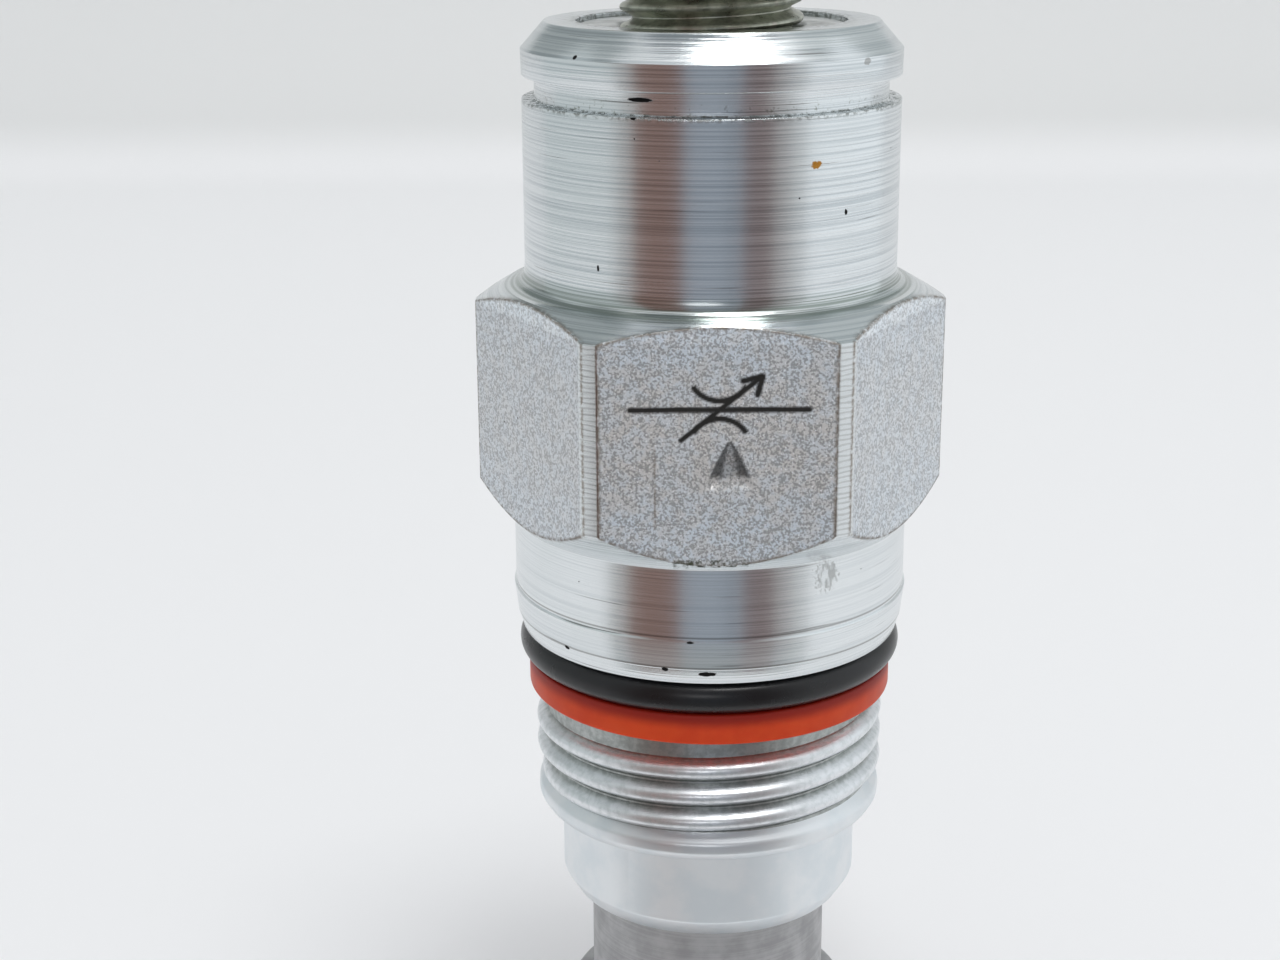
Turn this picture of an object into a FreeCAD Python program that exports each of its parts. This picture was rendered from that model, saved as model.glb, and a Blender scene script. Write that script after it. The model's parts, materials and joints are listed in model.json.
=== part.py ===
"""Screw-in hydraulic cartridge valve: a pressure-compensated flow control with an adjusting screw.

Millimetres. The origin is the centre of the nose end, +Z runs up the valve's axis to the
adjusting screw, and one flat of the body's hexagon faces -Y. Every turned piece is a
revolved (radius, height) outline. Threads are plain cylinders at their major diameter.
"""
import FreeCAD, Part
import math
import os
from collections import namedtuple

Vector = FreeCAD.Vector
AXIS = Vector(0, 0, 1)
ORIGIN = Vector(0, 0, 0)

# ---- driving dimensions: valve body, outside ----
HEX_FLATS = 22.225             # 7/8 inch across flats
HEX_CORNER_R = 12.58           # the corners are turned off at this radius
HEX_CORNER_LOW, HEX_CORNER_HIGH = 39.15, 49.00
HEX_TOP_SLOPE = math.tan(math.radians(30))
NECK_R = 9.88                  # smooth cylinder above the hexagon
NECK_FOOT_R = 10.90            # where the cove meets the hexagon's top cone
COVE_R = 1.05
CAP_GROOVE = (59.72, 60.93)    # snap groove for a cap
CAP_GROOVE_R = 9.22
TOP_EDGE_R, TOP_EDGE_Z = 9.91, 62.27
TOP_FACE_R, TOP_FACE_Z = 8.67, 63.67
COLLAR_R = 10.81               # collar under the hexagon
COLLAR_LINE_Z = 33.42          # below this line the collar tapers in two steps
COLLAR_STEP_R, COLLAR_STEP_Z = 10.60, 31.82
SHOULDER_R, SHOULDER_Z = 10.37, 30.97
SEAL_SEAT_R, SEAL_SEAT_Z = 8.78, 27.40
RELIEF_R, RELIEF_Z = 8.95, 26.30
THREAD_R = 9.90                # M20 x 1.5
THREAD_LEAD_Z, THREAD_END_Z = 21.00, 20.20
SKIRT_R = 8.32
SKIRT_EDGE_R, SKIRT_EDGE_Z = 7.70, 16.10
SKIRT_Z = 15.10

# ---- valve body, inside ----
SLEEVE_BORE_R, SLEEVE_BORE_TOP = 6.75, 24.00
CHAMBER_R, CHAMBER_TOP = 5.20, 42.00
BUSHING_BORE_R = 7.02

# ---- cage sleeve ----
SLEEVE_R, SLEEVE_TOP = 6.69, 23.90
SPOOL_BORE_R = 4.90
NOSE_R = 7.94                  # 5/8 inch nose
NOSE_CHAMFER, NOSE_MOUTH_CHAMFER = 0.90, 0.50
NOSE_GROOVE = (2.80, 6.80)
NOSE_GROOVE_R = 6.45
NOSE_TOP = 7.95
PORT_COUNT, PORT_R, PORT_Z = 6, 1.20, 9.65
SLEEVE_SEAL_GROOVE = (19.60, 22.20)
SLEEVE_SEAL_GROOVE_R = 5.72
RETAINER_Z, RETAINER_WIRE_R = 17.00, 0.38

# ---- compensator spool and what it carries ----
SPOOL_R, SPOOL_LOW, SPOOL_TOP = 4.86, 2.60, 21.00
SPOOL_HOLE_R = 2.70
SPRING_POCKET_R, SPRING_POCKET_Z = 3.85, 16.00
ORIFICE_SEAT_R = 3.90
ORIFICE_DISC = (4.60, 5.80)
ORIFICE_R = 1.20
SPOOL_RING = (3.75, 4.50)
SPOOL_STOP = (1.75, 2.50)
METER_GROOVE = (8.25, 11.25)
METER_GROOVE_R = 4.25
METER_HOLE_R = 1.10

# ---- spring, shim and seat ----
SHIM_THICK = 0.50
SPRING_TOP = 34.50
SPRING_MEAN_R, SPRING_WIRE_R, SPRING_PITCH = 3.20, 0.45, 2.60
SEAT_R, SEAT_TOP = 5.12, 37.45
SEAT_STEM_R, SEAT_STEM_LOW = 2.30, 31.50

# ---- adjuster bushing, screw and lock nut ----
BUSHING_R, BUSHING_TOP = 7.00, 63.42
BUSHING_SEAL_Z, BUSHING_SEAL_R = 44.75, 0.44
SEAL_BORE_R, SEAL_BORE_TOP = 4.00, 53.00
SCREW_THREAD_R = 4.7625        # 3/8-24 UNF
THREAD_GAP = 0.0475            # radial clearance of the plain thread stand-ins
SCREW_SHOULDER_Z, SCREW_TOP = 55.50, 77.70
PLUNGER_R, PLUNGER_LOW = 3.95, 37.50
SCREW_SEAL_GROOVE = (46.60, 49.20)
SCREW_SEAL_GROOVE_R = 2.63
SCREW_SEAL_R = 0.65
STOP_RING_Z, STOP_RING_THICK = 38.45, 0.75
SOCKET_FLATS, SOCKET_DEPTH = 3.97, 5.50
NUT_FLATS, NUT_THICK, NUT_LOW = 14.2875, 5.56, 66.20
NUT_SEAL_R, NUT_SEAL_THICK, NUT_SEAL_PROUD = 6.30, 1.60, 0.15

# ---- outside seals ----
BODY_SEAL_Z, BODY_SEAL_R, BODY_SEAL_OUTER_R = 30.03, 0.88, 10.55
BODY_BACKUP = (27.42, 29.10)
BODY_BACKUP_R = 10.07
NOSE_SEAL_R = 0.87
NOSE_BACKUP_THICK = 1.05

CLEAR = 0.02                   # gap between fixed pieces that touch in the real valve
BREAK = 0.15                   # broken edge on small turned pieces

Arc = namedtuple("Arc", "middle end")


def at(radius, height):
    """A point of an outline, in the XZ half-plane."""
    return Vector(radius, 0, height)


def lathe(*outline):
    """Revolve a closed outline of (radius, height) points and arcs about the axis."""
    start = at(*outline[0])
    edges = []
    here = start
    for step in outline[1:]:
        if isinstance(step, Arc):
            there = at(*step.end)
            edges.append(Part.Arc(here, at(*step.middle), there).toShape())
        else:
            there = at(*step)
            edges.append(Part.LineSegment(here, there).toShape())
        here = there
    edges.append(Part.LineSegment(here, start).toShape())
    return Part.makeSolid(Part.Face(Part.Wire(edges)).revolve(ORIGIN, AXIS, 360))


def ring(inner, outer, low, high, edge=0.0):
    """A flat ring, with its outer edges broken by edge."""
    if not edge:
        return lathe((inner, low), (outer, low), (outer, high), (inner, high))
    return lathe((inner, low), (outer - edge, low), (outer, low + edge),
                 (outer, high - edge), (outer - edge, high), (inner, high))


def o_ring(outer, section_r, height):
    return Part.makeTorus(outer - section_r, section_r, Vector(0, 0, height))


def hexagon(flats, low, high):
    """A hexagonal prism with one flat facing -Y."""
    corner_r = flats / math.sqrt(3)
    corners = [Vector(corner_r * math.cos(math.radians(60 * side)),
                      corner_r * math.sin(math.radians(60 * side)), low) for side in range(7)]
    return Part.Face(Part.makePolygon(corners)).extrude(Vector(0, 0, high - low))


def drill_round(solid, count, radius, height, first_deg=0.0):
    """Drill count radial holes through the wall, evenly spaced at one height."""
    for index in range(count):
        angle = math.radians(first_deg + 360 * index / count)
        direction = Vector(math.cos(angle), math.sin(angle), 0)
        solid = solid.cut(Part.makeCylinder(radius, HEX_CORNER_R, Vector(0, 0, height), direction))
    return solid


def split(solid, gap, low, high):
    """Open a ring with a gap of the given width on its +X side."""
    reach = HEX_CORNER_R
    return solid.cut(Part.makeBox(reach, gap, high - low, Vector(0, -gap / 2, low)))


# ------------------------------------------------------------------ body and bushing
def valve_body():
    cone_top = HEX_CORNER_HIGH + (HEX_CORNER_R - NECK_FOOT_R) * HEX_TOP_SLOPE
    collar_top = HEX_CORNER_LOW - (HEX_CORNER_R - COLLAR_R)
    cove_centre = (NECK_R + COVE_R, cone_top + COVE_R)
    half = COVE_R * math.cos(math.radians(45))
    groove_low, groove_high = CAP_GROOVE
    lathed = lathe(
        (SLEEVE_BORE_R, SKIRT_Z), (SKIRT_EDGE_R, SKIRT_Z), (SKIRT_R, SKIRT_EDGE_Z),
        (SKIRT_R, THREAD_END_Z), (THREAD_R - 0.8, THREAD_END_Z), (THREAD_R, THREAD_LEAD_Z),
        (THREAD_R, RELIEF_Z), (RELIEF_R, RELIEF_Z), (RELIEF_R, SEAL_SEAT_Z),
        (SEAL_SEAT_R, SEAL_SEAT_Z), (SEAL_SEAT_R, SHOULDER_Z), (SHOULDER_R, SHOULDER_Z),
        (COLLAR_STEP_R, COLLAR_STEP_Z), (COLLAR_R, COLLAR_LINE_Z), (COLLAR_R, collar_top),
        (HEX_CORNER_R, HEX_CORNER_LOW), (HEX_CORNER_R, HEX_CORNER_HIGH), (NECK_FOOT_R, cone_top),
        Arc((cove_centre[0] - half, cove_centre[1] - half), (NECK_R, cove_centre[1])),
        (NECK_R, groove_low), (CAP_GROOVE_R, groove_low), (CAP_GROOVE_R, groove_high),
        (NECK_R, groove_high), (TOP_EDGE_R, TOP_EDGE_Z), (TOP_FACE_R, TOP_FACE_Z),
        (BUSHING_BORE_R, TOP_FACE_Z), (BUSHING_BORE_R, CHAMBER_TOP), (CHAMBER_R, CHAMBER_TOP),
        (CHAMBER_R, SLEEVE_BORE_TOP), (SLEEVE_BORE_R, SLEEVE_BORE_TOP))
    retainer_groove = o_ring(SLEEVE_BORE_R + RETAINER_WIRE_R + CLEAR, RETAINER_WIRE_R + CLEAR,
                             RETAINER_Z)
    return lathed.common(hexagon(HEX_FLATS, 0, SCREW_TOP)).cut(retainer_groove)


def adjuster_bushing():
    thread_bore = SCREW_THREAD_R + THREAD_GAP
    low, high = CHAMBER_TOP + CLEAR, BUSHING_TOP
    seal_low = BUSHING_SEAL_Z - BUSHING_SEAL_R - 0.1
    seal_high = BUSHING_SEAL_Z + BUSHING_SEAL_R + 0.1
    seal_floor = BUSHING_R - 2 * BUSHING_SEAL_R - CLEAR
    return lathe(
        (SEAL_BORE_R + 0.4, low), (BUSHING_R - 0.4, low), (BUSHING_R, low + 0.4),
        (BUSHING_R, seal_low), (seal_floor, seal_low), (seal_floor, seal_high),
        (BUSHING_R, seal_high), (BUSHING_R, high - 0.3), (BUSHING_R - 0.3, high),
        (thread_bore + 0.3, high), (thread_bore, high - 0.3), (thread_bore, SEAL_BORE_TOP + 0.5),
        (SEAL_BORE_R, SEAL_BORE_TOP), (SEAL_BORE_R, low + 0.4))


def bushing_oring():
    return o_ring(BUSHING_R, BUSHING_SEAL_R, BUSHING_SEAL_Z)


# ------------------------------------------------------------------ cage sleeve and its seals
def cage_sleeve():
    groove_low, groove_high = NOSE_GROOVE
    seal_low, seal_high = SLEEVE_SEAL_GROOVE
    stop_low, stop_high = SPOOL_STOP
    stop_floor = SPOOL_BORE_R + 0.45
    blank = lathe(
        (SPOOL_BORE_R + NOSE_MOUTH_CHAMFER, 0), (NOSE_R - NOSE_CHAMFER, 0),
        (NOSE_R, NOSE_CHAMFER), (NOSE_R, groove_low), (NOSE_GROOVE_R, groove_low),
        (NOSE_GROOVE_R, groove_high), (NOSE_R, groove_high), (NOSE_R, NOSE_TOP - 0.2),
        (NOSE_R - 0.2, NOSE_TOP), (SLEEVE_R, NOSE_TOP), (SLEEVE_R, seal_low),
        (SLEEVE_SEAL_GROOVE_R, seal_low), (SLEEVE_SEAL_GROOVE_R, seal_high),
        (SLEEVE_R, seal_high), (SLEEVE_R, SLEEVE_TOP - 0.4), (SLEEVE_R - 0.4, SLEEVE_TOP),
        (SPOOL_BORE_R, SLEEVE_TOP), (SPOOL_BORE_R, stop_high + CLEAR),
        (stop_floor, stop_high + CLEAR), (stop_floor, stop_low - CLEAR),
        (SPOOL_BORE_R, stop_low - CLEAR), (SPOOL_BORE_R, NOSE_MOUTH_CHAMFER))
    wire_groove = o_ring(SLEEVE_BORE_R + RETAINER_WIRE_R + CLEAR, RETAINER_WIRE_R + CLEAR,
                         RETAINER_Z)
    return drill_round(blank.cut(wire_groove), PORT_COUNT, PORT_R, PORT_Z, first_deg=30)


def sleeve_retaining_ring():
    """A round-wire snap ring, half in the sleeve's groove and half in the body's."""
    wire = o_ring(SLEEVE_BORE_R + RETAINER_WIRE_R, RETAINER_WIRE_R, RETAINER_Z)
    return split(wire, 2.5, RETAINER_Z - 1, RETAINER_Z + 1)


def sleeve_oring():
    section_r = (SLEEVE_BORE_R - SLEEVE_SEAL_GROOVE_R) / 2 - CLEAR
    return o_ring(SLEEVE_BORE_R - CLEAR, section_r, SLEEVE_SEAL_GROOVE[0] + section_r + CLEAR)


def sleeve_backup_ring():
    high = SLEEVE_SEAL_GROOVE[1] - CLEAR
    return ring(SLEEVE_SEAL_GROOVE_R + CLEAR, SLEEVE_BORE_R - CLEAR, high - 1.25, high)


def nose_oring():
    middle = sum(NOSE_GROOVE) / 2
    return o_ring(NOSE_GROOVE_R + CLEAR + 2 * NOSE_SEAL_R, NOSE_SEAL_R, middle)


def nose_backup_ring(low):
    return ring(NOSE_GROOVE_R + CLEAR, NOSE_R - CLEAR, low, low + NOSE_BACKUP_THICK, BREAK)


def body_oring():
    return o_ring(BODY_SEAL_OUTER_R, BODY_SEAL_R, BODY_SEAL_Z)


def body_backup_ring():
    low, high = BODY_BACKUP
    return ring(SEAL_SEAT_R + CLEAR, BODY_BACKUP_R, low, high, BREAK)


# ------------------------------------------------------------------ spool, spring and seat
def compensator_spool():
    meter_low, meter_high = METER_GROOVE
    ring_low, ring_high = SPOOL_RING
    ring_floor = ORIFICE_SEAT_R + 0.35
    blank = lathe(
        (ORIFICE_SEAT_R, SPOOL_LOW), (SPOOL_R - 0.3, SPOOL_LOW), (SPOOL_R, SPOOL_LOW + 0.3),
        (SPOOL_R, meter_low), (METER_GROOVE_R, meter_low), (METER_GROOVE_R, meter_high),
        (SPOOL_R, meter_high), (SPOOL_R, SPOOL_TOP - 0.3), (SPOOL_R - 0.3, SPOOL_TOP),
        (SPRING_POCKET_R, SPOOL_TOP), (SPRING_POCKET_R, SPRING_POCKET_Z),
        (SPOOL_HOLE_R, SPRING_POCKET_Z), (SPOOL_HOLE_R, ORIFICE_DISC[1] + CLEAR),
        (ORIFICE_SEAT_R, ORIFICE_DISC[1] + CLEAR), (ORIFICE_SEAT_R, ring_high + CLEAR),
        (ring_floor, ring_high + CLEAR), (ring_floor, ring_low - CLEAR),
        (ORIFICE_SEAT_R, ring_low - CLEAR))
    return drill_round(blank, PORT_COUNT, METER_HOLE_R, sum(METER_GROOVE) / 2, first_deg=30)


def orifice_disc():
    """A disc with the metering orifice, countersunk on the inlet side."""
    low, high = ORIFICE_DISC
    outer = ORIFICE_SEAT_R - CLEAR
    return lathe((ORIFICE_R + 0.6, low), (outer, low), (outer, high), (ORIFICE_R, high),
                 (ORIFICE_R, low + 0.6))


def orifice_retaining_ring():
    low, high = SPOOL_RING
    return split(ring(3.10, ORIFICE_SEAT_R + 0.30, low, high), 2.0, low, high)


def spool_stop_ring():
    low, high = SPOOL_STOP
    return split(ring(4.20, SPOOL_BORE_R + 0.40, low, high), 2.2, low, high)


def spring_shim():
    low = SPRING_POCKET_Z + CLEAR
    return ring(SPOOL_HOLE_R, SPRING_POCKET_R - 0.1, low, low + SHIM_THICK)


def compensator_spring():
    """A round-wire coil spring with both ends ground flat."""
    low = SPRING_POCKET_Z + SHIM_THICK + 2 * CLEAR
    high = SPRING_TOP - CLEAR
    over = SPRING_WIRE_R + 0.2
    helix = Part.makeHelix(SPRING_PITCH, high - low + 2 * over, SPRING_MEAN_R)
    wire = Part.Wire(helix.Edges)
    section = Part.Wire(Part.makeCircle(SPRING_WIRE_R, Vector(SPRING_MEAN_R, 0, 0), Vector(0, 1, 0)))
    coil = wire.makePipeShell([section], True, True)
    coil.translate(Vector(0, 0, low - over))
    grind = Part.makeCylinder(SPRING_POCKET_R, high - low, Vector(0, 0, low))
    return coil.common(grind)


def spring_seat():
    flange_low = SPRING_TOP
    return lathe((0, SEAT_STEM_LOW), (SEAT_STEM_R - 0.4, SEAT_STEM_LOW),
                 (SEAT_STEM_R, SEAT_STEM_LOW + 0.4), (SEAT_STEM_R, flange_low),
                 (SEAT_R, flange_low), (SEAT_R, SEAT_TOP - 0.4), (SEAT_R - 0.4, SEAT_TOP),
                 (0, SEAT_TOP))


# ------------------------------------------------------------------ adjusting screw and lock nut
def adjusting_screw():
    groove_low, groove_high = SCREW_SEAL_GROOVE
    neck_r = PLUNGER_R - 0.55
    ring_low, ring_high = STOP_RING_Z - CLEAR, STOP_RING_Z + STOP_RING_THICK + CLEAR
    blank = lathe(
        (0, PLUNGER_LOW), (PLUNGER_R - 0.4, PLUNGER_LOW), (PLUNGER_R, PLUNGER_LOW + 0.4),
        (PLUNGER_R, ring_low), (neck_r, ring_low), (neck_r, ring_high), (PLUNGER_R, ring_high),
        (PLUNGER_R, groove_low), (SCREW_SEAL_GROOVE_R, groove_low),
        (SCREW_SEAL_GROOVE_R, groove_high), (PLUNGER_R, groove_high),
        (PLUNGER_R, SCREW_SHOULDER_Z), (SCREW_THREAD_R - 0.6, SCREW_SHOULDER_Z),
        (SCREW_THREAD_R, SCREW_SHOULDER_Z + 0.6), (SCREW_THREAD_R, SCREW_TOP - 0.75),
        (SCREW_THREAD_R - 0.75, SCREW_TOP), (0, SCREW_TOP))
    socket = hexagon(SOCKET_FLATS, SCREW_TOP - SOCKET_DEPTH, SCREW_TOP + 1)
    lead_r = SOCKET_FLATS / math.sqrt(3)
    lead = Part.makeCone(lead_r - 0.35, lead_r + 0.05, 0.4, Vector(0, 0, SCREW_TOP - 0.4))
    drill_tip = Part.makeCone(0, SOCKET_FLATS / 2, 1.0,
                              Vector(0, 0, SCREW_TOP - SOCKET_DEPTH - 1.0))
    return blank.cut(socket).cut(lead).cut(drill_tip)


def screw_oring():
    return o_ring(PLUNGER_R, SCREW_SEAL_R, SCREW_SEAL_GROOVE[0] + SCREW_SEAL_R + CLEAR)


def screw_backup_ring():
    high = SCREW_SEAL_GROOVE[1] - CLEAR
    return ring(SCREW_SEAL_GROOVE_R + CLEAR, PLUNGER_R, high - 1.1, high)


def screw_stop_ring():
    """The snap ring that meets the bushing when the screw is backed out."""
    low, high = STOP_RING_Z, STOP_RING_Z + STOP_RING_THICK
    return split(ring(PLUNGER_R - 0.53, 4.75, low, high), 3.0, low, high)


def lock_nut():
    high = NUT_LOW + NUT_THICK
    bore = SCREW_THREAD_R + THREAD_GAP
    rim = NUT_FLATS / 2 - 0.15
    corner = NUT_FLATS / math.sqrt(3)
    slope = (corner - rim) * math.tan(math.radians(30))
    seal_r = NUT_SEAL_R + 0.05
    seal_top = NUT_LOW + NUT_SEAL_THICK - NUT_SEAL_PROUD + 0.05
    turned = lathe(
        (seal_r, NUT_LOW), (rim, NUT_LOW), (corner, NUT_LOW + slope), (corner, high - slope),
        (rim, high), (bore + 0.4, high), (bore, high - 0.4), (bore, seal_top), (seal_r, seal_top))
    return turned.common(hexagon(NUT_FLATS, NUT_LOW - 1, high + 1))


def nut_seal_ring():
    low = NUT_LOW - NUT_SEAL_PROUD
    return ring(SCREW_THREAD_R + THREAD_GAP, NUT_SEAL_R, low, low + NUT_SEAL_THICK)


def pieces():
    """Every node of the valve, by name."""
    backup_low = NOSE_GROOVE[0] + CLEAR
    backup_high = NOSE_GROOVE[1] - CLEAR - NOSE_BACKUP_THICK
    return {
        "valve_body": valve_body(),
        "adjuster_bushing": adjuster_bushing(),
        "bushing_oring": bushing_oring(),
        "cage_sleeve": cage_sleeve(),
        "sleeve_retaining_ring": sleeve_retaining_ring(),
        "sleeve_oring": sleeve_oring(),
        "sleeve_backup_ring": sleeve_backup_ring(),
        "body_oring": body_oring(),
        "body_backup_ring": body_backup_ring(),
        "nose_oring": nose_oring(),
        "nose_backup_ring_lower": nose_backup_ring(backup_low),
        "nose_backup_ring_upper": nose_backup_ring(backup_high),
        "spool_stop_ring": spool_stop_ring(),
        "compensator_spool": compensator_spool(),
        "orifice_disc": orifice_disc(),
        "orifice_retaining_ring": orifice_retaining_ring(),
        "spring_shim": spring_shim(),
        "compensator_spring": compensator_spring(),
        "spring_seat": spring_seat(),
        "adjusting_screw": adjusting_screw(),
        "screw_oring": screw_oring(),
        "screw_backup_ring": screw_backup_ring(),
        "screw_stop_ring": screw_stop_ring(),
        "lock_nut": lock_nut(),
        "nut_seal_ring": nut_seal_ring(),
    }


os.makedirs("parts", exist_ok=True)
for node, shape in pieces().items():
    shape.exportStep(f"parts/{node}.step")
    print(f"{node}: {len(shape.Solids)} solid, {shape.Volume:.1f} mm3, valid {shape.isValid()}")
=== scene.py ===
"""Looks of the screw-in cartridge valve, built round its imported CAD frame.

Sizes are in millimetres, and the studio's in metres, in the frame's axes: the nose end is at
height 0, the adjusting screw points up, and one flat of the body's hexagon faces -Y. Azimuths are
in degrees from +X.
"""
import json
import math

import bmesh
import bpy
import numpy as np
from mathutils import Matrix, Vector

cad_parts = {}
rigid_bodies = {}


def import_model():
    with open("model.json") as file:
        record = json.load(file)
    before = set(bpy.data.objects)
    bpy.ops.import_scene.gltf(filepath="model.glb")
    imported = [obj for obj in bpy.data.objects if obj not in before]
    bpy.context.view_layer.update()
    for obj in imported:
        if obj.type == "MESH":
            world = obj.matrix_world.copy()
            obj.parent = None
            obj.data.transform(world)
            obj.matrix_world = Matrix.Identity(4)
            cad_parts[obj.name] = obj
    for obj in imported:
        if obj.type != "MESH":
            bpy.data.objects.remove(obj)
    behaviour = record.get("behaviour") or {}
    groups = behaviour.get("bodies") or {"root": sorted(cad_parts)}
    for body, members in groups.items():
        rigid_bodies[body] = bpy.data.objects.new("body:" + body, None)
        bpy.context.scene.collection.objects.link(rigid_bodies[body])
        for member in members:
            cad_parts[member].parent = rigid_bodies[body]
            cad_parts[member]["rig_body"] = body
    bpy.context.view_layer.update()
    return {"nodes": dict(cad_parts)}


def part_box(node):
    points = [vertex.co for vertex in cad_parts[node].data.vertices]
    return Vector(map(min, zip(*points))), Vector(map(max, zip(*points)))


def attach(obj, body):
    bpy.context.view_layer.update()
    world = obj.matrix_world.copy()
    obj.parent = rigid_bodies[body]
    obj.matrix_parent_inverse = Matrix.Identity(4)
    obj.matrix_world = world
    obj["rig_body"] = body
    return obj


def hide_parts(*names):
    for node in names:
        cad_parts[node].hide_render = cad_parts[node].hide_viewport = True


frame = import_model()

MM = 0.001
FRONT = -90.0                      # azimuth of the front flat's normal
SMOOTH_ANGLE = math.radians(38)    # edges sharper than this stay sharp


def node_z(node):
    """Lowest and highest z of a CAD node, in millimetres."""
    low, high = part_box(node)
    return low.z / MM, high.z / MM


def node_r(node):
    """Largest radius of a round CAD node, in millimetres."""
    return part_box(node)[1].x / MM


# ---- sizes read from the frame ----
SKIRT_Z, TOP_FACE_Z = node_z("valve_body")
HEX_CORNER_R = node_r("valve_body")
HEX_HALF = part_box("valve_body")[1].y / MM
SLEEVE_TOP = node_z("cage_sleeve")[1]
NOSE_R = node_r("cage_sleeve")
SCREW_LOW, SCREW_TOP = node_z("adjusting_screw")
SCREW_R = node_r("adjusting_screw")
BUSHING_LOW, BUSHING_TOP = node_z("adjuster_bushing")
BUSHING_R = node_r("adjuster_bushing")
NUT_LOW, NUT_HIGH = node_z("lock_nut")
NUT_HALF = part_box("lock_nut")[1].y / MM
BACKUP_TOP = node_z("body_backup_ring")[1]

# ---- turned outline of the body, as in the CAD model ----
HEX_LOW, HEX_HIGH = 39.15, 49.00   # heights of the corners' ends
HEX_SLOPE = math.tan(math.radians(30))
NECK_R, NECK_FOOT_R = 9.88, 10.90
COVE_R, COVE_HEIGHT = 1.05, 1.08
CAP_GROOVE_LOW, CAP_GROOVE_HIGH, CAP_GROOVE_R = 59.72, 60.93, 9.22
TOP_EDGE_R, TOP_EDGE_Z, TOP_FACE_R = 9.91, 62.27, 8.67
COLLAR_R, COLLAR_LINE_Z = 10.81, 33.42
COLLAR_STEP_R, COLLAR_STEP_Z = 10.60, 31.82
SHOULDER_R, SHOULDER_Z = 10.37, 30.97
SEAT_R, SEAT_Z = 8.78, 27.40
SKIRT_R, SKIRT_EDGE_R, SKIRT_EDGE_Z = 8.32, 7.70, 16.10
BODY_THREAD_R, BODY_ROOT_R, BODY_PITCH = 9.72, 9.12, 1.47
BEAD_R, BEAD_LOW, BEAD_HIGH = 9.66, 20.50, 21.98
BUSHING_BORE_R, BUSHING_SEAT_Z = 7.02, 42.0
SPRING_BORE_R, SLEEVE_BORE_R, SLEEVE_SEAT_Z = 5.2, 6.75, 24.0
SCREW_ROOT_R, SCREW_PITCH = 4.09, 25.4 / 24
SCREW_NECK_R, SCREW_NECK_Z = 3.95, 55.6
INSERT_BORE_R = 4.81               # bore of the bushing, the nut and its seal

HEX_EDGE_OFF = math.degrees(math.acos(HEX_HALF / HEX_CORNER_R))   # half of a flat's angle
FLAT_Z = (HEX_LOW + HEX_HIGH) / 2
FLAT_ROWS, FRONT_STEP = 150, 0.08  # mesh rows on each flat, column step on the front one
ARC_STEPS = 3                      # steps in each rounded corner
RING_SEGMENTS = 220                # columns of each seal ring
ETCH_DEPTH = 0.03                  # of the symbol on the front flat


# -------------------------------------- outlines
def rounded(outline):
    """Round the corners of a closed outline of (radius, height, corner radius) points."""
    points = []
    for index, (r, z, corner) in enumerate(outline):
        here = Vector((r, z))
        if corner == 0:
            points.append((r, z))
            continue
        to_last = Vector(outline[index - 1][:2]) - here
        to_next = Vector(outline[(index + 1) % len(outline)][:2]) - here
        half = to_last.angle(to_next) / 2
        cut = min(corner / math.tan(half), 0.45 * to_last.length, 0.45 * to_next.length)
        start = here + to_last.normalized() * cut
        end = here + to_next.normalized() * cut
        middle_way = (to_last.normalized() + to_next.normalized()).normalized()
        centre = here + middle_way * (cut / math.cos(half))
        first, last = start - centre, end - centre
        sweep = first.angle_signed(last)
        for step in range(ARC_STEPS + 1):
            turned = first.copy()
            turned.rotate(Matrix.Rotation(-sweep * step / ARC_STEPS, 2))
            points.append(tuple(centre + turned))
    return points


def around(radius, azimuth, height):
    """The point at a radius and an azimuth round the axis, and a height."""
    angle = math.radians(azimuth)
    return radius * math.cos(angle), radius * math.sin(angle), height


def even_angles(count):
    """Azimuths spread evenly round the axis."""
    return [360.0 * index / count for index in range(count)]


# -------------------------------------- mesh building
def put(name, verts, faces, body, material, replaces=(), slot=None, weighted=True):
    """Make a mesh piece from points in millimetres and hang it on its body. Its slot argument is not
    used.

    It takes the place of the CAD nodes in replaces."""
    mesh = bpy.data.meshes.new(name)
    mesh.from_pydata([tuple(MM * c for c in v) for v in verts], [], faces)
    work = bmesh.new()
    work.from_mesh(mesh)
    bmesh.ops.remove_doubles(work, verts=work.verts, dist=1e-8)
    bmesh.ops.recalc_face_normals(work, faces=work.faces)
    work.to_mesh(mesh)
    work.free()
    mesh.shade_smooth()
    mesh.set_sharp_from_angle(angle=SMOOTH_ANGLE)
    mesh.materials.append(material)
    piece = bpy.data.objects.new(name, mesh)
    bpy.context.scene.collection.objects.link(piece)
    if weighted:
        piece.modifiers.new("normals", "WEIGHTED_NORMAL").keep_sharp = True
    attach(piece, body)
    if replaces:
        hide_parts(*replaces)
    return piece


def grid_faces(columns, rows, closed_rows=True):
    """Quads of a grid whose columns close round the axis."""
    faces = []
    for a in range(columns):
        b = (a + 1) % columns
        for row in range(rows if closed_rows else rows - 1):
            up = (row + 1) % rows
            faces.append((a * rows + row, b * rows + row, b * rows + up, a * rows + up))
    return faces


def turned_points(columns, angles):
    """Points of a grid: one (radius, height) column at each azimuth."""
    verts = []
    for column, angle in zip(columns, angles):
        verts += [around(r, angle, z) for r, z in column]
    return verts


def turned(name, outline, body, material, segments=180, **kept):
    """A solid turned from one closed outline. Points on the axis close it there."""
    column = rounded(outline)
    angles = even_angles(segments)
    verts = turned_points([column] * segments, angles)
    return put(name, verts, grid_faces(segments, len(column)), body, material, **kept)


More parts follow.
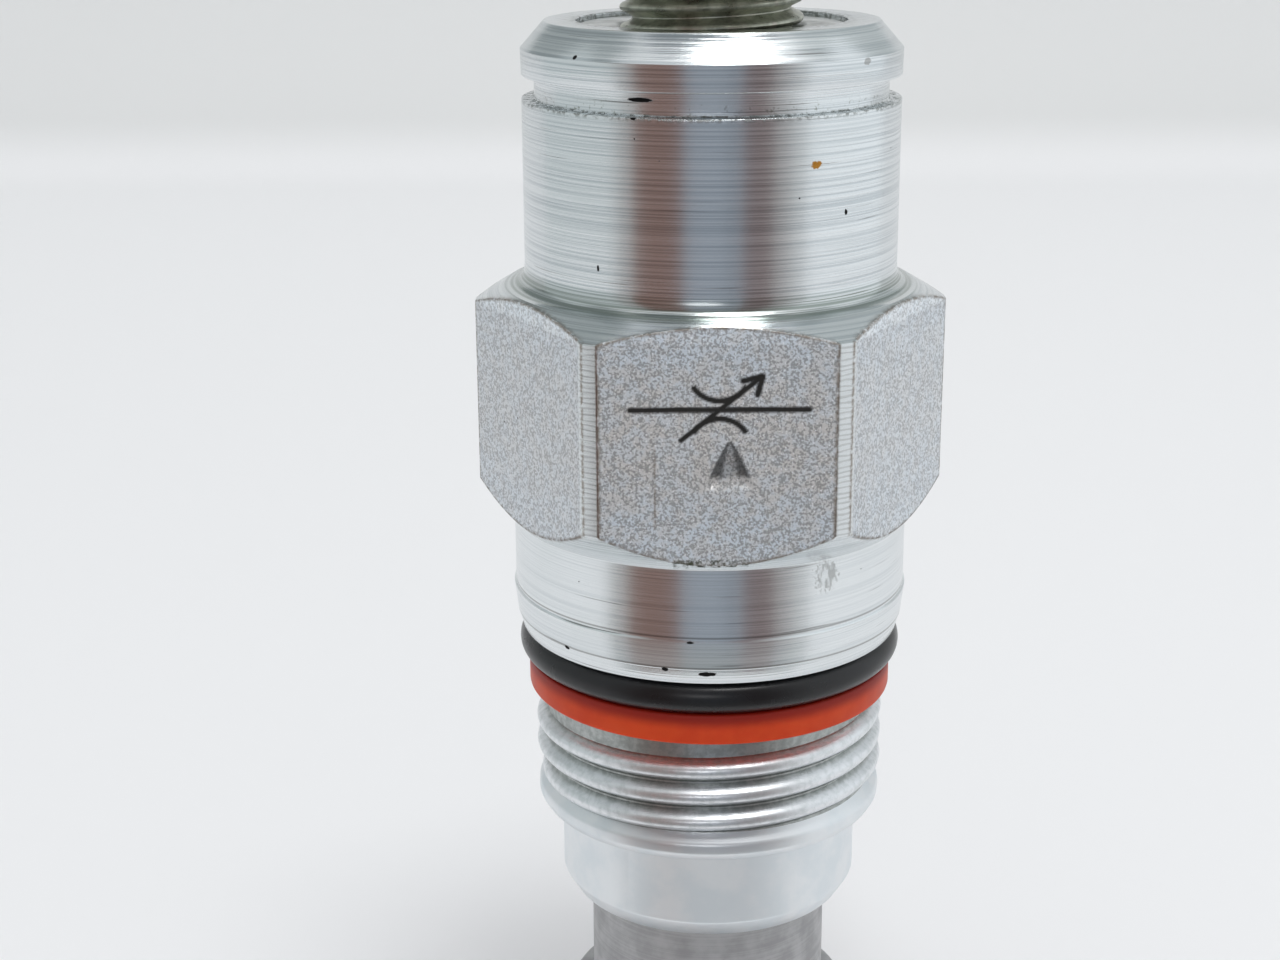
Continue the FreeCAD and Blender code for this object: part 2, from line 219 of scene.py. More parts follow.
def thread(name, root_r, crest_r, pitch, low, high, start, limit, body, material, **kept):
    """A right-handed thread's ridge from height low to high, fading out at both ends.

    It starts at azimuth start. limit(z) is the largest radius allowed at height z, such as
    that of a chamfered end."""
    per_turn = 96
    steps = int((high - low) / pitch * per_turn)
    # half-round ridge: height as a share of the ridge's, place along the axis as a share of pitch
    section = [(-0.08, -0.49), (0.0, -0.47), (0.14, -0.39), (0.48, -0.285), (0.78, -0.20),
               (0.93, -0.12), (1.0, 0.0), (0.93, 0.12), (0.78, 0.20), (0.48, 0.285),
               (0.14, 0.39), (0.0, 0.47), (-0.08, 0.49)]
    fade_steps = per_turn / 3
    verts = []
    for step in range(steps + 1):
        turn = step / per_turn
        height = min(1.0, step / fade_steps, (steps - step) / fade_steps)
        height = height * height * (3 - 2 * height)
        middle = low + pitch * turn
        tall = (min(crest_r, limit(middle)) - root_r) * height
        for rise, along in section:
            r = root_r + (rise * tall if rise > 0 else rise)
            verts.append(around(r, start + 360 * turn, middle + along * pitch))
    rows = len(section)
    faces = [tuple(range(rows)), tuple(range(steps * rows + rows - 1, steps * rows - 1, -1))]
    for step in range(steps):
        for row in range(rows):
            up = (row + 1) % rows
            a, b = step * rows, (step + 1) * rows
            faces.append((a + row, b + row, b + up, a + up))
    return put(name, verts, faces, body, material, weighted=False, **kept)


# -------------------------------------- shader building
class Shader:
    """A procedural material, written as expressions over the piece's own coordinates."""

    def __init__(self, name):
        self.material = bpy.data.materials.new(name)
        self.material.use_nodes = True
        self.tree = self.material.node_tree
        self.bsdf = self.tree.nodes["Principled BSDF"]
        where = self.tree.nodes.new("ShaderNodeTexCoord")
        self.place = self.vector("MULTIPLY", where.outputs["Object"], (1000, 1000, 1000))

    def link(self, value, socket):
        """Feed a socket from another node's output, or set its constant value."""
        if isinstance(value, bpy.types.NodeSocket):
            self.tree.links.new(value, socket)
        elif isinstance(value, tuple) and len(value) == 3 and socket.type == "RGBA":
            socket.default_value = (*value, 1)
        else:
            socket.default_value = value

    def vector(self, operation, a, b):
        node = self.tree.nodes.new("ShaderNodeVectorMath")
        node.operation = operation
        self.link(a, node.inputs[0])
        self.link(b, node.inputs[1])
        return node.outputs["Value" if operation == "LENGTH" else "Vector"]

    def math(self, operation, a, b=0.5, c=0.5, clamp=False):
        node = self.tree.nodes.new("ShaderNodeMath")
        node.operation = operation
        node.use_clamp = clamp
        for value, socket in zip((a, b, c), node.inputs):
            self.link(value, socket)
        return node.outputs[0]

    def times(self, a, b):
        return self.math("MULTIPLY", a, b)

    def radius(self):
        """Distance from the valve's axis, in millimetres."""
        x, y, _ = self.split()
        return self.math("SQRT", self.math("ADD", self.times(x, x), self.times(y, y)))

    def split(self):
        node = self.tree.nodes.new("ShaderNodeSeparateXYZ")
        self.link(self.place, node.inputs[0])
        return node.outputs

    def noise(self, per_mm, detail=3.0, rough=0.55, shift=0.0):
        """Noise with the given number of features per millimetre along X, Y and Z."""
        if not isinstance(per_mm, tuple):
            per_mm = (per_mm, per_mm, per_mm)
        moved = self.vector("ADD", self.place, (shift, shift, shift))
        node = self.tree.nodes.new("ShaderNodeTexNoise")
        self.link(self.vector("MULTIPLY", moved, per_mm), node.inputs["Vector"])
        node.inputs["Scale"].default_value = 1.0
        node.inputs["Detail"].default_value = detail
        node.inputs["Roughness"].default_value = rough
        return node.outputs["Fac"]

    def cells(self, per_mm):
        """Distance to the nearest of scattered points, with so many per millimetre."""
        node = self.tree.nodes.new("ShaderNodeTexVoronoi")
        self.link(self.place, node.inputs["Vector"])
        node.inputs["Scale"].default_value = per_mm
        return node.outputs["Distance"]

    def ramp(self, value, low, high, to_low=0.0, to_high=1.0):
        """Smoothly carry value from low..high to to_low..to_high."""
        node = self.tree.nodes.new("ShaderNodeMapRange")
        node.interpolation_type = "SMOOTHSTEP"
        for item, socket in zip((value, low, high, to_low, to_high), node.inputs):
            self.link(item, socket)
        return node.outputs[0]

    def mix(self, share, a, b):
        node = self.tree.nodes.new("ShaderNodeMix")
        node.data_type = "RGBA"
        self.link(share, node.inputs["Factor"])
        self.link(a, node.inputs[6])
        self.link(b, node.inputs[7])
        return node.outputs[2]

    def mask(self, name):
        """A mask painted on the mesh's points."""
        node = self.tree.nodes.new("ShaderNodeAttribute")
        node.attribute_name = name
        return node.outputs["Fac"]

    def spot(self, azimuth, height, radius, wide, tall, ragged=0.5):
        """Mask of a small ragged mark on a turned face, wide and tall in millimetres."""
        centre = around(radius, azimuth, height)
        shape = (2 / wide, 2 / wide, 2 / tall)
        away = self.vector("MULTIPLY", self.vector("SUBTRACT", self.place, centre), shape)
        rough = self.times(self.noise(6.0, detail=3, shift=azimuth), ragged * 2)
        reach = self.math("ADD", self.vector("LENGTH", away, (0, 0, 0)), rough)
        return self.ramp(reach, 1.15 + ragged, 0.85 + ragged)

    def either(self, *masks):
        """The strongest of several masks."""
        total = masks[0]
        for mask in masks[1:]:
            total = self.math("MAXIMUM", total, mask)
        return total

    def bump(self, height, depth_mm, under=None):
        """Normal of a relief of the given depth, on top of the normal under it."""
        node = self.tree.nodes.new("ShaderNodeBump")
        node.inputs["Strength"].default_value = 1.0
        node.inputs["Distance"].default_value = depth_mm * MM
        self.link(height, node.inputs["Height"])
        if under is not None:
            self.link(under, node.inputs["Normal"])
        return node.outputs["Normal"]

    def turned_grain(self, strength):
        """Stretch the gloss across the lathe's lines, which run round the axis."""
        self.link(strength, self.bsdf.inputs["Anisotropic"])
        node = self.tree.nodes.new("ShaderNodeTangent")
        node.direction_type = "RADIAL"
        node.axis = "Z"
        self.link(node.outputs[0], self.bsdf.inputs["Tangent"])

    def finish(self, color, metallic, roughness, normal=None, **constants):
        """Fill the shader's sockets. Constants are socket names with _ for their spaces."""
        self.link(color, self.bsdf.inputs["Base Color"])
        self.link(metallic, self.bsdf.inputs["Metallic"])
        self.link(roughness, self.bsdf.inputs["Roughness"])
        if normal is not None:
            self.link(normal, self.bsdf.inputs["Normal"])
        for name, value in constants.items():
            self.bsdf.inputs[name.replace("_", " ")].default_value = value
        return self.material


def lathe_lines(s, fine=10.0):
    """Heights of the fine lines a lathe leaves round a piece."""
    sharp = s.noise((0.03, 0.03, fine), detail=2, rough=0.7)
    broad = s.noise((0.02, 0.02, fine / 5), detail=1, shift=37)
    return s.math("ADD", s.times(sharp, 0.88), s.times(broad, 0.12))


# -------------------------------------- materials
# black chips in the body's zinc: azimuth, height, radius, width, height of the mark, raggedness
ZINC_CHIPS = [
    (-92.4, 31.6, 10.5, 0.9, 0.25, 0.5), (-104.2, 31.8, 10.55, 0.35, 0.3, 0.5),
    (-113.8, 60.5, 9.22, 1.3, 0.22, 0.3), (-126.2, 52.2, 9.88, 0.15, 0.3, 0.5),
    (-49.5, 54.85, 9.88, 0.2, 0.3, 0.5), (-97.0, 33.4, 10.8, 0.4, 0.12, 0.5),
    (-136.5, 31.85, 10.6, 0.35, 0.2, 0.5), (-134.5, 62.4, 9.8, 0.25, 0.25, 0.5),
    (-114.2, 59.7, 9.88, 0.3, 0.2, 0.5), (-144.5, 49.8, 12.0, 0.7, 0.25, 1.0),
    (-53.6, 45.6, 12.45, 0.3, 0.9, 1.0), (-123.0, 39.0, 11.9, 0.7, 0.2, 1.0)]


def turned_zinc(s, lines, depth, cove, radius, flat, z):
    """Colour of the turned zinc: streaks and nicks round it, painted shade in the cove, ribbed
    corner strips.
    """
    streak = s.ramp(lines, 0.36, 0.60, s.math("SUBTRACT", 0.8, s.times(depth, 0.8)), 1.0)
    cloud = s.noise(0.25, detail=4, shift=11)
    color = s.mix(streak, (0.56, 0.60, 0.62), (0.80, 0.83, 0.84))
    color = s.mix(s.ramp(cloud, 0.45, 0.75, 0, 0.35), color, (0.69, 0.73, 0.73))
    nick_lines = s.noise((0.10, 0.10, 7.0), detail=2, rough=0.7, shift=133)
    color = s.mix(s.ramp(nick_lines, 0.33, 0.26, 0, 0.8), color, (0.22, 0.22, 0.215))
    # painted shade: the cove is painted darker and greener along its turned lines
    color = s.mix(s.times(cove, s.ramp(lines, 0.58, 0.42, 0.30, 0.90)), color, (0.29, 0.33, 0.30))
    strip = s.times(s.ramp(radius, HEX_CORNER_R - 0.14, HEX_CORNER_R - 0.08),
                    s.math("SUBTRACT", 1.0, flat, clamp=True))
    color = s.mix(strip, color, (0.70, 0.73, 0.74))
    sway = s.times(s.noise((0.5, 0.5, 1.6), detail=3, shift=7), 9.0)
    ribs = s.math("SINE", s.math("ADD", s.times(z, 23.0), sway))
    return s.mix(s.times(strip, s.ramp(ribs, 0.1, 0.9, 0, 0.42)), color, (0.33, 0.33, 0.32))


def step_shade_lines(s, radius, z):
    """Mask of the dark lines painted as shade in the collar's two steps."""
    lines = [s.ramp(s.math("ABSOLUTE", s.math("SUBTRACT", z, height)), reach, 0.03)
             for height, reach in ((COLLAR_LINE_Z + 0.19, 0.06), (COLLAR_STEP_Z + 0.10, 0.07))]
    return s.times(s.either(*lines), s.ramp(radius, 11.0, 10.9))


def flat_zinc(s, grain, flat, z):
    """Colour of the blotchy plate on the hexagon's flats, most pitted in front, with painted
    reflection making the side flats lighter than the front one, and painted glints.
    """
    tone = s.noise(1.1, detail=4, rough=0.6, shift=23)
    from_middle = s.math("ABSOLUTE", s.math("SUBTRACT", z, FLAT_Z))
    cool = s.math("ADD", s.ramp(tone, 0.40, 0.60, 0, 0.6), s.ramp(from_middle, 1.5, 5.0, 0, 0.45),
                  clamp=True)
    color = s.mix(cool, (0.67, 0.655, 0.64), (0.68, 0.74, 0.80))
    curls = s.ramp(s.cells(2.9), 0.30, 0.62)
    pits = s.ramp(s.math("SUBTRACT", grain, s.times(curls, 0.09)), 0.475, 0.385)
    front = s.ramp(flat, 0.62, 1.0)
    # painted reflection: the side flats are painted lighter, for the brighter room they mirror
    color = s.mix(s.ramp(front, 0, 1, 0.60, 0.0), color, (0.88, 0.92, 0.95))
    color = s.mix(s.times(pits, s.ramp(front, 0, 1, 0.42, 0.64)), color, (0.20, 0.20, 0.20))
    # painted highlight: small bright glints scattered over the flats
    painted_glint = s.ramp(s.noise(9.0, detail=1, shift=91), 0.62, 0.70)
    return s.mix(s.times(painted_glint, 0.8), color, (0.95, 0.97, 1.0))


def zinc_dirt(s, color, radius, z):
    """Dirt along the flats' edges, dark deposits where oil has settled with a painted shadow line at
    the cap groove's foot, dust in the cap groove.

    Returns the colour with them, and the mask of the dark deposits and painted shadow."""
    dirt_noise = s.noise(3.0, detail=5, rough=0.7, shift=51)
    dirt = s.times(s.mask("edge"), s.ramp(dirt_noise, 0.34, 0.56))
    color = s.mix(s.times(dirt, 0.8), color, (0.19, 0.15, 0.11))
    # dark deposits, and at the cap groove's foot a painted shadow line as well
    crust_and_shade = s.times(s.mask("grime_and_shade"), s.ramp(dirt_noise, 0.44, 0.58))
    color = s.mix(crust_and_shade, color, (0.07, 0.08, 0.05))
    groove = s.times(s.ramp(radius, NECK_R - 0.28, NECK_R - 0.48),
                     s.ramp(z, CAP_GROOVE_LOW + 0.88, CAP_GROOVE_LOW + 0.18))
    groove = s.times(groove, s.ramp(z, CAP_GROOVE_LOW - 0.32, CAP_GROOVE_LOW - 0.12))
    dust_noise = s.noise(4.0, detail=4, rough=0.7, shift=61)
    dust = s.times(groove, s.ramp(dust_noise, 0.58, 0.66))
    return s.mix(s.times(dust, 0.6), color, (0.17, 0.18, 0.13)), crust_and_shade


def zinc_marks(s, color):
    """Specks and chips, a rust spot, a smudge and a nick. Returns the colour and the chips' mask."""
    speck = s.times(s.ramp(s.cells(0.9), 0.05, 0.03),
                    s.ramp(s.noise(0.35, detail=1, shift=71), 0.56, 0.60))
    chips = s.either(speck, *[s.spot(*chip) for chip in ZINC_CHIPS])
    color = s.mix(chips, color, (0.03, 0.03, 0.03))
    rust = s.spot(-60.6, 57.35, 9.88, 0.62, 0.36, 0.7)
    color = s.mix(rust, color, (0.42, 0.19, 0.035))
    patchy = s.ramp(s.noise((4.0, 4.0, 1.6), detail=4, shift=81), 0.40, 0.60, 0.05, 0.55)
    smudge = s.times(s.spot(-57.7, 36.45, 10.76, 1.4, 1.7, 1.2), patchy)
    color = s.mix(smudge, color, (0.20, 0.20, 0.19))
    nick = s.spot(-41.5, 62.1, 9.9, 0.55, 0.35, 0.8)
    return s.mix(s.times(nick, 0.6), color, (0.25, 0.24, 0.22)), chips


def zinc_plate():
    """Bright zinc of the body: turned lines round the axis, blotchy plate on the flats."""
    s = Shader("zinc_plate")
    lines = lathe_lines(s)
    grain = s.noise(7.5, detail=3, rough=0.6, shift=5)
    flat, etch = s.mask("flat"), s.mask("etch")
    ground = s.ramp(flat, 0.05, 0.50)
    _, _, z = s.split()
    radius = s.radius()
    depth = s.ramp(z, HEX_LOW - 1.55, HEX_LOW - 0.55, 0.45, 1.0)   # shallow on the collar
    cove = s.times(s.ramp(z, HEX_HIGH + 2.3, HEX_HIGH + 1.5),
                   s.ramp(z, HEX_HIGH + 0.8, HEX_HIGH + 1.1))
    cone = s.times(s.ramp(z, HEX_HIGH - 0.1, HEX_HIGH + 0.1),
                   s.ramp(z, HEX_HIGH + 2.3, HEX_HIGH + 1.6))

    bright = turned_zinc(s, lines, depth, cove, radius, flat, z)
    # painted shade: dark lines at the collar's two steps
    bright = s.mix(s.times(step_shade_lines(s, radius, z), 0.65), bright, (0.20, 0.20, 0.19))
    color = s.mix(ground, bright, flat_zinc(s, grain, flat, z))
    color, crust_and_shade = zinc_dirt(s, color, radius, z)
    # the etched symbol, and painted shade in the punch mark, both near black
    color = s.mix(etch, color, (0.03, 0.029, 0.027))
    color, chips = zinc_marks(s, color)

    turned_rough = s.ramp(lines, 0.3, 0.7, 0.13, 0.18)
    turned_rough = s.math("ADD", turned_rough, s.times(cove, 0.04))
    rough = s.mix(ground, turned_rough, s.ramp(grain, 0.4, 0.6, 0.55, 0.45))
    rough = s.math("MAXIMUM", rough, s.times(s.either(etch, crust_and_shade, chips), 0.7))
    turned_bump = s.times(lines, s.math("SUBTRACT", 1.0, ground))
    turned_bump = s.times(turned_bump, s.ramp(cone, 0, 1, 1.0, 0.25))
    turned_bump = s.times(turned_bump, depth)
    plate_bump = s.times(s.ramp(grain, 0.35, 0.55), ground)
    normal = s.bump(plate_bump, 0.012, under=s.bump(turned_bump, 0.013))
    s.turned_grain(s.ramp(cone, 0, 1, 0.90, 0.10))
    metal = s.math("SUBTRACT", 1.0, s.times(flat, 0.45))
    return s.finish(color, metal, rough, normal)


def thread_zinc():
    """Zinc in the thread: lighter at the crests, darker grey towards the roots."""
    s = Shader("thread_zinc")
    high = s.ramp(s.radius(), BODY_ROOT_R + 0.05, BODY_THREAD_R - 0.30)
    wear = s.noise(2.6, detail=5, rough=0.6)
    dull = s.mix(s.ramp(wear, 0.35, 0.65), (0.33, 0.35, 0.34), (0.46, 0.48, 0.47))
    clean = s.mix(s.ramp(wear, 0.35, 0.60), (0.68, 0.71, 0.72), (0.79, 0.81, 0.83))
    color = s.mix(high, dull, clean)
    rough = s.ramp(wear, 0.3, 0.7, 0.42, 0.32)
    normal = s.bump(s.noise((1.2, 1.2, 4.0), detail=3), 0.012)
    return s.finish(color, 1.0, rough, normal)


def skirt_zinc():
    """Satin zinc of the skirt."""
    s = Shader("skirt_zinc")
    lines = lathe_lines(s, fine=12.0)
    cloud = s.noise(0.5, detail=4, shift=3)
    color = s.mix(s.ramp(cloud, 0.35, 0.65), (0.74, 0.785, 0.81), (0.80, 0.825, 0.84))
    normal = s.bump(lines, 0.003)
    s.turned_grain(0.3)
    return s.finish(color, 1.0, s.ramp(cloud, 0.3, 0.7, 0.44, 0.38), normal)


def steel(name, dark, light, roughness):
    """Bare steel with faint turning lines and cloudy discoloration."""
    s = Shader(name)
    lines = lathe_lines(s, fine=7.0)
    cloud = s.noise(0.7, detail=5, shift=9)
    share = s.math("ADD", s.times(lines, 0.4), s.times(cloud, 0.6))
    color = s.mix(s.ramp(share, 0.38, 0.62), dark, light)
    normal = s.bump(lines, 0.006)
    s.turned_grain(0.35)
    return s.finish(color, 0.9, s.ramp(cloud, 0.3, 0.7, roughness, roughness - 0.08), normal)


def yellow_chromate():
    """Olive yellow chromate of the screw and its nut, darker where oil has dried."""
    s = Shader("yellow_chromate")
    cloud = s.noise(0.9, detail=5, rough=0.65)
    film = s.noise(2.5, detail=4, shift=17)
    color = s.mix(s.ramp(cloud, 0.35, 0.65), (0.30, 0.31, 0.255), (0.56, 0.575, 0.49))
    color = s.mix(s.ramp(film, 0.55, 0.75, 0, 0.5), color, (0.50, 0.44, 0.40))
    normal = s.bump(s.noise((1.5, 1.5, 6.0), detail=3), 0.010)
    return s.finish(color, 0.95, s.ramp(cloud, 0.3, 0.7, 0.26, 0.38), normal)


def black_rubber():
    """Matt black rubber with a faint bloom and specks of dust."""
    s = Shader("black_rubber")
    dust = s.noise(3.5, detail=5, rough=0.7)
    bloom = s.noise(0.35, detail=3, shift=13)
    color = s.mix(s.ramp(bloom, 0.45, 0.75, 0, 0.6), (0.006, 0.006, 0.007), (0.011, 0.011, 0.013))
    color = s.mix(s.ramp(dust, 0.68, 0.76, 0, 0.4), color, (0.08, 0.08, 0.075))
    normal = s.bump(s.noise(5.0, detail=4), 0.003)
    rough = s.ramp(bloom, 0.3, 0.7, 0.25, 0.32)
    return s.finish(color, 0.0, rough, normal, Specular_IOR_Level=0.42)


def orange_plastic():
    """Orange-red seal plastic, a little translucent, with painted shade in deeper red at the body
    ring's top, under the O-ring.
    """
    s = Shader("orange_plastic")
    cloud = s.noise(0.5, detail=3)
    _, _, z = s.split()
    color = s.mix(s.ramp(cloud, 0.35, 0.65), (0.49, 0.040, 0.005), (0.54, 0.052, 0.007))
    # painted shade: the ring's top is painted deeper red where the O-ring above shades it
    shade = s.ramp(z, BACKUP_TOP - 0.95, BACKUP_TOP - 0.20, 0, 0.92)
    color = s.mix(shade, color, (0.22, 0.008, 0.004))
    normal = s.bump(s.noise((0.5, 0.5, 4.0), detail=3), 0.006)
    return s.finish(color, 0.0, 0.42, normal, Subsurface_Weight=0.5,
                    Subsurface_Radius=(0.0010, 0.00015, 0.00005), Subsurface_Scale=0.5,
                    Specular_IOR_Level=0.18)


def seal_plastic():
    """Off-white seal plastic."""
    s = Shader("seal_plastic")
    cloud = s.noise(0.8, detail=4)
    color = s.mix(s.ramp(cloud, 0.35, 0.65), (0.62, 0.60, 0.54), (0.72, 0.70, 0.64))
    normal = s.bump(s.noise(4.0, detail=3), 0.006)
    return s.finish(color, 0.0, 0.45, normal, Subsurface_Weight=0.2,
                    Subsurface_Radius=(0.001, 0.0009, 0.0007), Subsurface_Scale=0.5)


ZINC = zinc_plate()
THREAD_ZINC = thread_zinc()
SKIRT_ZINC = skirt_zinc()
SLEEVE_STEEL = steel("sleeve_steel", (0.36, 0.36, 0.365), (0.46, 0.46, 0.465), 0.55)
GROUND_STEEL = steel("ground_steel", (0.45, 0.45, 0.46), (0.58, 0.58, 0.59), 0.34)
SPRING_STEEL = steel("spring_steel", (0.10, 0.10, 0.11), (0.20, 0.20, 0.21), 0.40)
BUSHING_STEEL = steel("bushing_steel", (0.50, 0.51, 0.50), (0.74, 0.75, 0.74), 0.36)
CHROMATE = yellow_chromate()
RUBBER = black_rubber()
ORANGE = orange_plastic()
SEAL = seal_plastic()


# -------------------------------------- body
def hex_reach(angle, half, corner_r, soft=0.05):
    """Radius at one azimuth of a hexagon whose corners are turned to corner_r."""
    off = (angle - FRONT + 30) % 60 - 30
    flat_r = half / math.cos(math.radians(off))
    near = max(0.0, soft - abs(flat_r - corner_r)) / soft
    return min(flat_r, corner_r) - near * near * soft / 4


def body_angles():
    """Azimuths of the body's columns: close together at the hexagon's edges and on the front."""
    edge_off, side_columns = HEX_EDGE_OFF, 44
    fine = [-1.0, -0.7, -0.45, -0.28, -0.15, -0.05, 0.05, 0.15, 0.28, 0.45, 0.7, 1.0]
    angles = []
    for side in range(6):
        middle = FRONT + 60 * side
        offs = [sign * (edge_off + f) for sign in (-1, 1) for f in fine]
        offs += [sign * (edge_off + 1.45) for sign in (-1, 1)] + [30]
        if side == 0:
            span = HEX_HALF * math.tan(math.radians(edge_off - 1.3))
            count = int(2 * span / FRONT_STEP)
            offs += [math.degrees(math.atan(span * (2 * i / count - 1) / HEX_HALF))
                     for i in range(count + 1)]
        else:
            offs += [(edge_off - 1.5) * (2 * i / side_columns - 1)
                     for i in range(side_columns + 1)]
        angles += [middle + off for off in offs]
    return sorted(angle % 360 for angle in angles)


def between(start, end, *shares):
    """Plain points on the way from start to end, at the given shares of it."""
    return [(start[0] + (end[0] - start[0]) * s, start[1] + (end[1] - start[1]) * s, 0)
            for s in shares]


def body_column(angle):
    """The body's closed outline at one azimuth, outside first, from the skirt's mouth up."""
    reach = hex_reach(angle, HEX_HALF, HEX_CORNER_R)
    cone_low = HEX_LOW - (HEX_CORNER_R - reach)
    cone_high = HEX_HIGH + (HEX_CORNER_R - reach) * HEX_SLOPE
    neck_foot_z = HEX_HIGH + (HEX_CORNER_R - NECK_FOOT_R) * HEX_SLOPE
    collar_r = COLLAR_R - 0.10
    collar_top = HEX_LOW - (HEX_CORNER_R - collar_r)
    below = rounded([
        (SLEEVE_BORE_R, SKIRT_Z, 0.15), (SKIRT_EDGE_R, SKIRT_Z, 0.2), (SKIRT_R, SKIRT_EDGE_Z, 0.3),
        (SKIRT_R, BEAD_LOW, 0.06), (BEAD_R - 0.25, BEAD_LOW, 0.10),
        (BEAD_R, BEAD_LOW + 0.40, 0.35), (BEAD_R - 0.02, BEAD_HIGH - 0.55, 0.40),
        (BODY_ROOT_R, BEAD_HIGH, 0.15), (BODY_ROOT_R, SEAT_Z, 0.03), (SEAT_R, SEAT_Z, 0.03),
        (SEAT_R, SHOULDER_Z, 0.1),
        (SHOULDER_R, SHOULDER_Z, 0.08), (COLLAR_STEP_R, COLLAR_STEP_Z, 0.03),
        (COLLAR_STEP_R + 0.03, COLLAR_STEP_Z + 0.05, 0.02), (COLLAR_R, COLLAR_LINE_Z - 0.04, 0.02),
        (collar_r, COLLAR_LINE_Z + 0.07, 0.02), (collar_r, collar_top - 0.6, 0),
        (collar_r, collar_top - 0.3, 0), (collar_r, collar_top, 0.08),
        *between((collar_r, collar_top), (reach, cone_low), 0.5, 0.75, 0.88),
        (reach, cone_low, 0.06),
        (reach, FLAT_Z, 0), (SLEEVE_BORE_R, FLAT_Z, 0)])[:-2]
    above = rounded([
        (SLEEVE_BORE_R, FLAT_Z, 0), (reach, FLAT_Z, 0), (reach, cone_high, 0.06),
        *between((reach, cone_high), (NECK_FOOT_R, neck_foot_z), 0.12, 0.25, 0.5),
        (NECK_FOOT_R, neck_foot_z, 0.05),
        *[(NECK_R + COVE_R * (1 + math.cos(math.radians(a))),
           neck_foot_z + COVE_HEIGHT * (1 + math.sin(math.radians(a))), 0)
          for a in range(258, 192, -13)],
        (NECK_R, neck_foot_z + COVE_HEIGHT + 0.04, 0.1),
        (NECK_R, CAP_GROOVE_LOW - 0.6, 0), (NECK_R, CAP_GROOVE_LOW - 0.25, 0),
        (NECK_R, CAP_GROOVE_LOW, 0.05), (CAP_GROOVE_R, CAP_GROOVE_LOW, 0.12),
        (CAP_GROOVE_R, CAP_GROOVE_HIGH, 0.12), (NECK_R, CAP_GROOVE_HIGH, 0.06),
        (TOP_EDGE_R, TOP_EDGE_Z, 0.06), (TOP_FACE_R, TOP_FACE_Z, 0.08),
        (BUSHING_BORE_R, TOP_FACE_Z, 0.08), (BUSHING_BORE_R, BUSHING_SEAT_Z, 0.1),
        (SPRING_BORE_R, BUSHING_SEAT_Z, 0.1), (SPRING_BORE_R, SLEEVE_SEAT_Z, 0.1),
        (SLEEVE_BORE_R, SLEEVE_SEAT_Z, 0.1)])[2:]
    low_z, high_z = below[-1][1], above[0][1]
    flat = [(reach, low_z + (high_z - low_z) * i / FLAT_ROWS) for i in range(1, FLAT_ROWS)]
    return below + flat + above


def body_shell():
    """The body in one piece, with its thread's root and its skirt in their own zinc."""
    angles = body_angles()
    columns = [body_column(angle) for angle in angles]
    rows = len(columns[0])
    verts = turned_points(columns, angles)
    piece = put("body_shell", verts, grid_faces(len(angles), rows), "body", ZINC,
                replaces=["valve_body"], slot="zinc_plated_steel")
    carve(piece.data)
    for material in (THREAD_ZINC, SKIRT_ZINC):
        piece.data.materials.append(material)
    for face in piece.data.polygons:
        height = face.center.z / MM
        if height < BEAD_HIGH:
            face.material_index = 2
        elif height < SEAT_Z:
            face.material_index = 1


def smooth(value, low, high):
    """Smooth step of an array from 0 at low to 1 at high."""
    share = np.clip((value - low) / (high - low), 0, 1)
    return share * share * (3 - 2 * share)


def carve(mesh):
    """Press the punch mark and the etched symbol into the front flat, and paint the masks, with
    painted shade on the punch mark's sides.
    """
    points = np.zeros(len(mesh.vertices) * 3)
    mesh.vertices.foreach_get("co", points)
    points = points.reshape(-1, 3) / MM
    x, y, z = points.T
    radius = np.hypot(x, y)
    azimuth = np.degrees(np.arctan2(y, x))
    flat, edge, front = flat_masks(radius, azimuth, z)
    scratch = stroke(x, z, (-3.1, 39.7), (-3.1, 43.7), 0.05) * front
    edge = np.maximum(edge, 0.9 * scratch)

    dent, wall = punch(x, z)
    etch = symbol_mask(x, z) * front
    points[:, 1] += dent * front + ETCH_DEPTH * etch
    # painted shade: the punch mark's sides and inside join the near-black etch mask
    etch = np.maximum(etch, 0.8 * wall * front)
    mesh.vertices.foreach_set("co", (points * MM).ravel())

    masks = {"flat": flat, "edge": edge, "grime_and_shade": grime_and_shade_mask(x, y, z, radius), "etch": etch}
    for name, values in masks.items():
        layer = mesh.attributes.new(name, "FLOAT", "POINT")
        layer.data.foreach_set("value", values.astype(np.float32))
    mesh.update()


